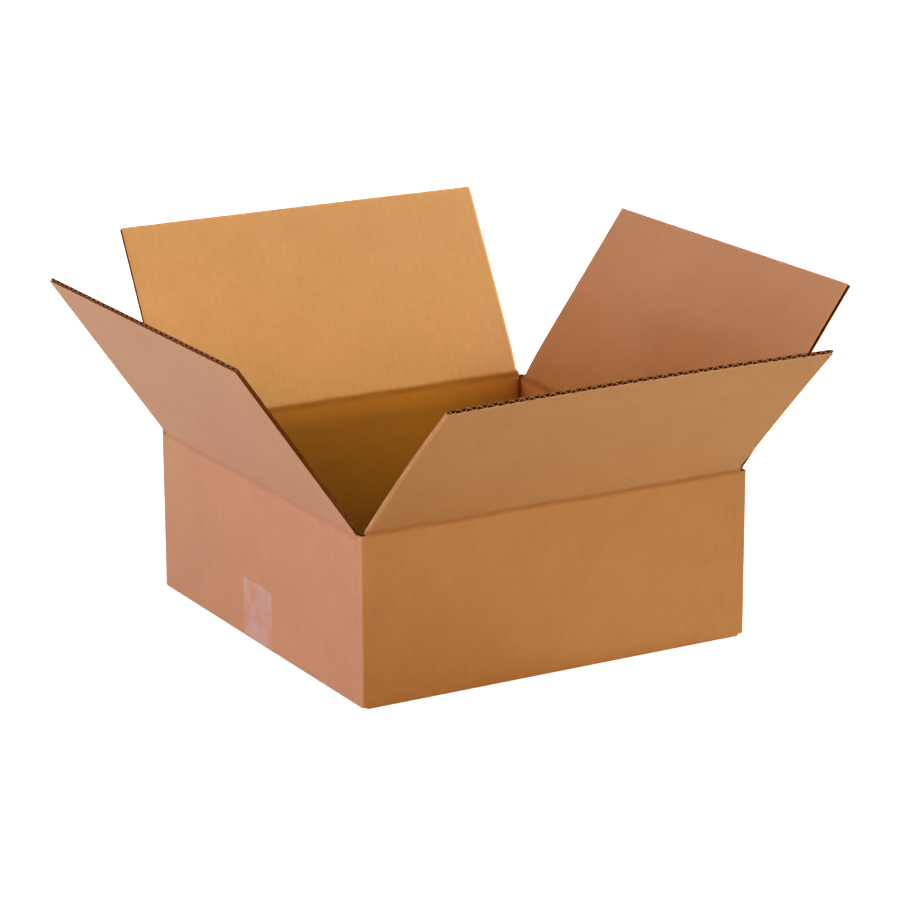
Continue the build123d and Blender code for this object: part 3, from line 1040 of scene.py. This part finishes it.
# %% Build the glued tab
TAB_WIDTH = 35 * MM
TAB_MARGIN = 6 * MM
TAB_TAPER = 12 * MM
TAB_STEPS = 120
TAB_ROWS = 8
TAB_RAGGED = 0.12 * MM   # how far its slanting cuts stray
TAB_HALF_WAVE = 0.14 * MM               # half the medium's thickness in it
GLUE = 0.05 * MM


def tab_limits(share):
    """The tab's lowest and highest point at a share of its width from the corner."""
    bottom = 2 * BOARD + PLAY + TAB_MARGIN
    top = slot_floor - BOARD - TAB_MARGIN
    return bottom + TAB_TAPER * share, top - TAB_TAPER * share


def tab_layer(name, near, far, papers=sheet_papers):
    """One layer between two depths from the wall's inner face, each a function of the width."""
    outer, inner, sheet = [], [], []
    face_at = -half_length + BOARD
    for step in range(TAB_STEPS + 1):
        share = step / TAB_STEPS
        across = TAB_WIDTH * share
        rows = [[], [], []]
        bottom, top = tab_limits(share)
        for level in range(TAB_ROWS + 1):
            height = bottom + (top - bottom) * level / TAB_ROWS
            side = half_length - BOARD - across
            ragged = TAB_RAGGED * wobble(41, across, height, near(across), size=3 * MM)
            wall_bow = bow("left", -side, height)
            height += ragged if level in (0, TAB_ROWS) else 0
            rows[0].append(Vector((face_at - wall_bow + near(across), side, height)))
            rows[1].append(Vector((face_at - wall_bow + far(across), side, height)))
            rows[2].append((walls["back"]["start"] + half_length + across, height))
        for grid, row in zip((outer, inner, sheet), rows):
            grid.append(row)
    return closed_shell(name, outer, inner, sheet, papers)


def tab_wave(across):
    """The medium's depth in the tab."""
    crest = math.cos(2 * math.pi * across / FLUTE_PITCH)
    return BOARD / 2 + (BOARD / 2 - LINER - TAB_HALF_WAVE) * crest


tab_layers = [
    tab_layer("glue_tab_back", lambda across: GLUE, lambda across: GLUE + LINER),
    tab_layer("glue_tab_face", lambda across: BOARD - LINER, lambda across: BOARD),
    tab_layer("glue_tab_wave", lambda across: tab_wave(across) - TAB_HALF_WAVE,
              lambda across: tab_wave(across) + TAB_HALF_WAVE, (medium_kraft,) * 3),
]
for layer in tab_layers:
    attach(layer, "carton")
    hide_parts("carton_body")
print("tab", TAB_WIDTH / MM, "mm wide in", len(tab_layers), "layers")

# %% [markdown]
# Clear packing tape
#
# The tape is a polypropylene film with glue on one side. Clear film on kraft is hardly seen:
# it greys the paper a little where air is caught under it, and it is smoother and glossier
# than the paper. It could be a paler patch of the paper, but a film over it keeps the fibres
# below in sight. Its see-through share is one plain number, the same all over.

# %% Tape film material
AIR = 14 * MM            # width of the places where air is caught under the film
CRINKLE = 5 * MM         # and of the film's small dents
SEE_THROUGH = 0.36       # the film's alpha


def tape_film():
    """Clear film with a haze of trapped air."""
    material, tree = new_material("polypropylene_tape_film")
    where = add(tree, "ShaderNodeTexCoord").outputs["Object"]
    air = add(tree, "ShaderNodeTexNoise", {"Vector": where, "Scale": 1 / AIR, "Detail": 2.0,
                                           "Roughness": 0.5, "Distortion": 0.5})
    haze = add(tree, "ShaderNodeMapRange", {"Value": air, 1: 0.34, 2: 0.62})
    tint = add(tree, "ShaderNodeMix", {0: haze, 6: linear("#EFC598"), 7: linear("#F0D8BF")},
               data_type="RGBA")
    crinkle = add(tree, "ShaderNodeTexNoise", {"Vector": where, "Scale": 1 / CRINKLE,
                                               "Detail": 2.0})
    crease = add(tree, "ShaderNodeBump", {"Height": crinkle, "Strength": 0.4,
                                          "Distance": 0.1 * MM})
    gloss = add(tree, "ShaderNodeMapRange", {"Value": air, 1: 0.3, 2: 0.7, 3: 0.32, 4: 0.5})
    surface = add(tree, "ShaderNodeBsdfPrincipled", {
        "Base Color": tint.outputs[2], "Roughness": gloss, "IOR": 1.49, "Alpha": SEE_THROUGH,
        "Normal": crease})
    add(tree, "ShaderNodeOutputMaterial", {"Surface": surface})
    return material


film = tape_film()
print("tape material", film.name)

# %% [markdown]
# The film's way round the carton
#
# The tape is one strip: up the left wall, round its foot, over the small step to the outer
# flaps and along their seam, and the same on the right, so its route is written once and
# mirrored. It is a real film with two faces, a hair off the board, with small wrinkles and
# the saw-toothed ends that a dispenser leaves. On a wall it follows the wall's bow.

# %% Build the tape
TAPE_WIDTH = 45 * MM
TAPE_REACH = 47 * MM     # how far it goes up a wall
FILM = 0.08 * MM
LIFT = 0.03 * MM         # the glue under it
TAPE_COLUMNS = 41
WALL_STEPS = 30          # steps of its route up a wall, round the foot and along the seam
FOOT_STEPS = 6
SEAM_STEPS = 40
STEP_MAP = 2 * MM        # what each of them counts for on the film's own map
TOOTH = 1.1 * MM         # depth of the saw teeth
TEAR = 0.6 * MM          # how far the torn end strays
WRINKLE = 0.16 * MM


def tape_route():
    """Half the tape's line as (x, z, outward x, outward z), from its end on a wall to the middle."""
    flap_end = half_length - slot_inset
    route = []
    for step in range(WALL_STEPS + 1):
        share = step / WALL_STEPS
        route.append((half_length, TAPE_REACH + (FOLD_DROP + BOTTOM_BEND - TAPE_REACH) * share,
                      1, 0))
    for step in range(1, FOOT_STEPS):
        angle = step / FOOT_STEPS * math.pi / 2
        route.append((half_length - BOTTOM_BEND * (1 - math.cos(angle)),
                      FOLD_DROP + BOTTOM_BEND * (1 - math.sin(angle)),
                      math.cos(angle), math.sin(-angle)))
    route.append((half_length - BOTTOM_BEND, FOLD_DROP, 0, -1))
    for step in range(SEAM_STEPS + 1):
        route.append((flap_end * (1 - step / SEAM_STEPS), FILM + LIFT, 0, -1))
    return route


def tape_point(side, spot, across, lift):
    """A point of the film, lift above the board, on the left (-1) or the right (1) half."""
    x, z, out_x, out_z = spot
    if out_x > 0:
        flap = "right" if side > 0 else "left"
        lift += bow(flap, across * side, z)
    return Vector((side * (x + lift * out_x), across, max(z + lift * out_z, 0.0)))


def tape_strip():
    """The whole film: up the left wall, under the carton, up the right wall."""
    half = tape_route()
    route = [(-1, spot) for spot in half] + [(1, spot) for spot in reversed(half[:-1])]
    outer, inner, sheet = [], [], []
    length = 0.0
    for number, (side, spot) in enumerate(route):
        rows = [[], [], []]
        for column in range(TAPE_COLUMNS):
            across = (column / (TAPE_COLUMNS - 1) - 0.5) * TAPE_WIDTH
            place = list(spot)
            if number in (0, len(route) - 1):
                torn = wobble(51, across, 0, side, size=9 * MM)
                place[1] -= TOOTH * (column % 2) + TEAR * torn
            ridge = abs(wobble(53, spot[0] * side, across * 0.45, spot[1], size=9 * MM))
            lift = LIFT + WRINKLE * max(0.55 - ridge * 3, 0) if place[2] > 0 else LIFT
            rows[0].append(tape_point(side, place, across, lift + FILM))
            rows[1].append(tape_point(side, place, across, lift))
            rows[2].append((across, length))
        length += STEP_MAP
        for grid, row in zip((outer, inner, sheet), rows):
            grid.append(row)
    return closed_shell("bottom_tape_film", outer, inner, sheet, (film, film, film))


tape = tape_strip()
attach(tape, "carton")
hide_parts("bottom_tape")
print("tape", len(tape.data.polygons), "faces")

# %% [markdown]
# A pale floor that reads as paper white
#
# A product photograph stands the box on a white sweep that is lit until it has no edge. A
# large plane that shines a little does the same, and it shines for the camera only, so it
# doesn't light the box from below. Its middle, under the carton, doesn't shine, because it
# would show inside as a white dot, where the gaps between the bottom flaps cross.

# %% Floor
SWEEP_GLOW = 0.92
SWEEP_EDGE = 30.0
UNDER_CARTON = 0.14      # half the middle square, which the carton hides
SWEEP_DROP = 0.2 * MM    # how far the floor lies under the carton


def sweep_paper(name, glow):
    """White paper that shines by glow in the camera's own rays, and lights nothing with it."""
    material, tree = new_material(name)
    seen = add(tree, "ShaderNodeLightPath").outputs["Is Camera Ray"]
    shine = add(tree, "ShaderNodeMath", {0: seen, 1: glow}, operation="MULTIPLY")
    paper = add(tree, "ShaderNodeBsdfPrincipled", {
        "Base Color": linear("#F4F4F4"), "Roughness": 0.9, "Specular IOR Level": 0.1,
        "Emission Color": linear("#FFFFFF"), "Emission Strength": shine})
    add(tree, "ShaderNodeOutputMaterial", {"Surface": paper})
    return material


def sweep():
    """A large white floor of three by three tiles, the middle one without the shine."""
    places = (-SWEEP_EDGE, -UNDER_CARTON, UNDER_CARTON, SWEEP_EDGE)
    corners = [(x, y, -SWEEP_DROP) for y in places for x in places]
    tiles = [(4 * row + column, 4 * row + column + 1, 4 * row + column + 5, 4 * row + column + 4)
             for row in range(3) for column in range(3)]
    mesh = bpy.data.meshes.new("sweep")
    mesh.from_pydata(corners, [], tiles)
    mesh.materials.append(sweep_paper("white_paper_sweep", SWEEP_GLOW))
    mesh.materials.append(sweep_paper("white_paper_underneath", 0.0))
    mesh.polygons[4].material_index = 1
    floor = bpy.data.objects.new("sweep", mesh)
    bpy.context.scene.collection.objects.link(floor)
    return floor


floor = sweep()
print("floor", floor.name)

# %% [markdown]
# The camera
#
# The photograph was taken from the front left and a little above, with a long lens. Its
# direction and distance were fitted to the carton's corners. The photograph's upright edges
# are parallel, which a plain camera can't quite give: a shift would, but it would push the
# carton out of the other views.

# %% Camera
VIEW_DEGREES = (-29.61, 16.02, -0.23)   # turned from the front, raised, and rolled
VIEW_PLACE = (-1.20673, -2.12675, 0.82515)
LENS = 139.9


def camera():
    """The photograph's view."""
    azimuth, elevation, roll = (math.radians(a) for a in VIEW_DEGREES)
    back = Vector((math.sin(azimuth) * math.cos(elevation),
                   -math.cos(azimuth) * math.cos(elevation), math.sin(elevation)))
    right = Vector((math.cos(azimuth), math.sin(azimuth), 0))
    up = back.cross(right)
    tilt_right = right * math.cos(roll) + up * math.sin(roll)
    tilt_up = up * math.cos(roll) - right * math.sin(roll)
    data = bpy.data.cameras.new("camera")
    data.sensor_width = 36.0
    data.lens = LENS
    data.clip_end = 100
    view = bpy.data.objects.new("camera", data)
    turn = Matrix((tilt_right, tilt_up, back)).transposed().to_4x4()
    view.matrix_world = Matrix.Translation(VIEW_PLACE) @ turn
    bpy.context.scene.collection.objects.link(view)
    bpy.context.scene.camera = view
    return view


view = camera()
print("camera at", [round(c, 3) for c in view.matrix_world.translation])

# %% [markdown]
# Soft studio light
#
# Six softboxes stand ten metres away, so that their light hardly falls off over the carton.
# The cool ones on the left colour the left wall and the inside of the right flap, the warm
# ones in front light the front wall and the inside of the back flap, and the two on the right
# reach over the right wall into the carton. One large lamp would be simpler, but it gives the
# faces of a box too much the same tone. The world itself stays black.

# %% Lights
LAMP_DISTANCE = 10.0     # metres


def softbox(name, azimuth, elevation, size, power, colour):
    """An area light of a width and height, in a direction from the carton, turned towards it."""
    turn, rise = math.radians(azimuth), math.radians(elevation)
    away = Vector((math.sin(turn) * math.cos(rise), -math.cos(turn) * math.cos(rise),
                   math.sin(rise)))
    data = bpy.data.lights.new(name, "AREA")
    data.shape = "RECTANGLE"
    data.size, data.size_y = size
    data.energy = power
    data.color = linear(colour)[:3]
    lamp = bpy.data.objects.new(name, data)
    lamp.location = away * LAMP_DISTANCE
    lamp.rotation_euler = away.to_track_quat("Z", "Y").to_euler()
    bpy.context.scene.collection.objects.link(lamp)
    return lamp


lamps = [
    softbox("front_left_warm", -50, 25, (4.0, 2.5), 276, "#FFB37A"),
    softbox("left_cool", -80, 14, (4.8, 2.5), 366, "#EDDEFF"),
    softbox("back_left_low", -100, 5, (4.8, 1.6), 408, "#D0D5FF"),
    softbox("front_right_amber", 20, 20, (2.5, 2.5), 208, "#FFD937"),
    softbox("right_low", 90, 22, (2.5, 2.5), 240, "#FFEABD"),
    softbox("right_key", 95, 40, (2.5, 2.5), 800, "#FFFAF0"),
]
world = bpy.data.worlds.new("studio")
world.use_nodes = True
world.node_tree.nodes["Background"].inputs["Color"].default_value = linear("#FFFFFF")
world.node_tree.nodes["Background"].inputs["Strength"].default_value = 0.0
bpy.context.scene.world = world
bpy.context.scene.view_settings.view_transform = "Standard"
print("lamps", [lamp.name for lamp in lamps])
